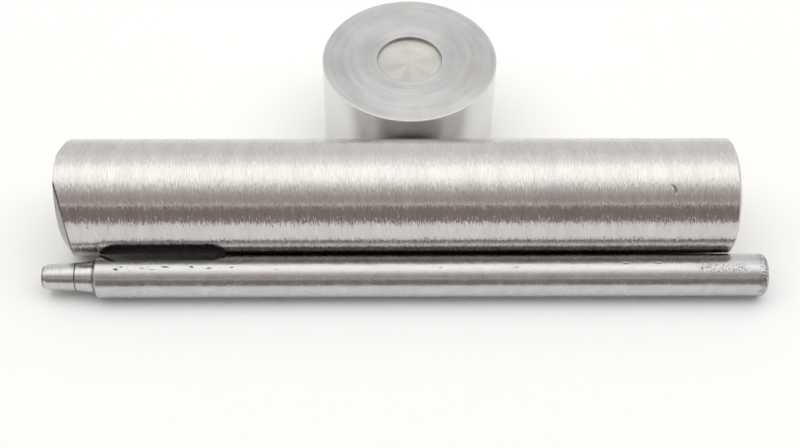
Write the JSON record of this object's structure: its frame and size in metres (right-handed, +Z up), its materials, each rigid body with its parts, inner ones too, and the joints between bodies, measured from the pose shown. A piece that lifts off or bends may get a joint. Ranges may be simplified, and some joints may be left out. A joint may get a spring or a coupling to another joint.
{
  "type": "rivet setter",
  "caption": "Hand rivet setter in loose steel pieces: a round anvil with a shallow seat, a thick setter rod with a matching cup, and a slim hollow hole punch with a chip slot.",
  "frame": {"origin": "centre of the anvil's base, on the surface that all the pieces rest on", "axes": "+Z up along the anvil's axis; +X along the setter rod and the punch, from their working ends to their struck ends; -Y towards the person who looks at the set, with the rods lying in front of the anvil"},
  "size_m": [0.0977, 0.0457, 0.016],
  "materials": {
    "anvil_steel": "bare steel, faced and turned in the lathe, dull concentric tool marks",
    "setter_steel": "bare steel, ground round, fine circumferential grinding lines",
    "punch_steel": "bare steel, drawn and turned, darker nose, small pits and a rough struck end"
  },
  "bodies": {
    "anvil": {"anvil": "anvil_steel"},
    "setter_rod": {"setter_rod": "setter_steel"},
    "hole_punch": {"hole_punch": "punch_steel"}
  },
  "joints": [
    {"name": "setter_lift", "type": "slide", "parent": "anvil", "child": "setter_rod", "axis": [0, 0, 1], "range_m": [0, 0.06]},
    {"name": "punch_lift", "type": "slide", "parent": "anvil", "child": "hole_punch", "axis": [0, -0.7071, 0.7071], "range_m": [0, 0.06]}
  ]
}
